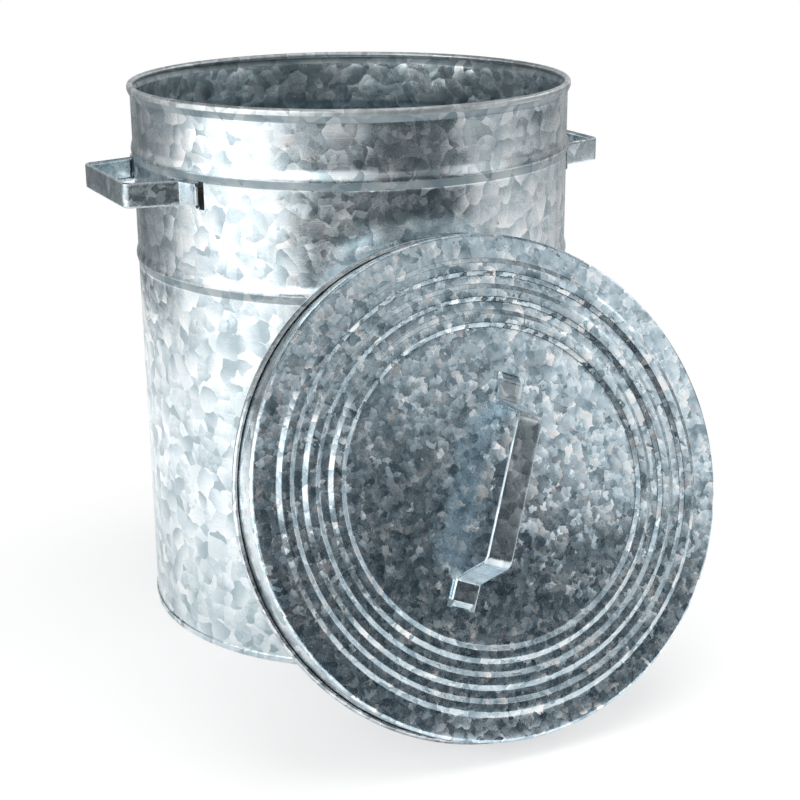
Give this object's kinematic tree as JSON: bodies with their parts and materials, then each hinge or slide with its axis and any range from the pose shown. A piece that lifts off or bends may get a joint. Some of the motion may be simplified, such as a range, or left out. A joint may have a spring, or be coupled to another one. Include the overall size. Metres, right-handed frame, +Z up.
{
  "type": "trash can with lid",
  "caption": "Round galvanised steel trash can with a beaded wall, rolled rim and strap side handles, with its ridged lid taken off and leant against the wall.",
  "frame": {"origin": "centre of the can's foot on the floor, on the can's axis", "axes": "+Z up along the can's axis, the side handles on +X and -X, the lid leaning on the -Y side"},
  "size_m": [0.394, 0.4854, 0.412],
  "materials": {
    "galvanized_body": "spangled galvanised, semi-gloss",
    "galvanized_base": "spangled galvanised, semi-gloss",
    "galvanized_lid": "fine spangle, semi-gloss",
    "galvanized_strap": "galvanised strip, semi-gloss",
    "steel_wire": "drawn wire"
  },
  "bodies": {
    "can": {"can_wall": "galvanized_body", "can_rim_wire": "steel_wire", "can_base": "galvanized_base", "handle_left": "galvanized_strap", "handle_right": "galvanized_strap"},
    "lid": {"lid_pan": "galvanized_lid", "lid_rim_wire": "steel_wire", "lid_handle": "galvanized_strap"}
  },
  "joints": [
    {"name": "lid_lift", "type": "slide", "parent": "can", "child": "lid", "axis": [-0.0698, -0.9284, 0.3649], "range_m": [0, 0.3]}
  ]
}
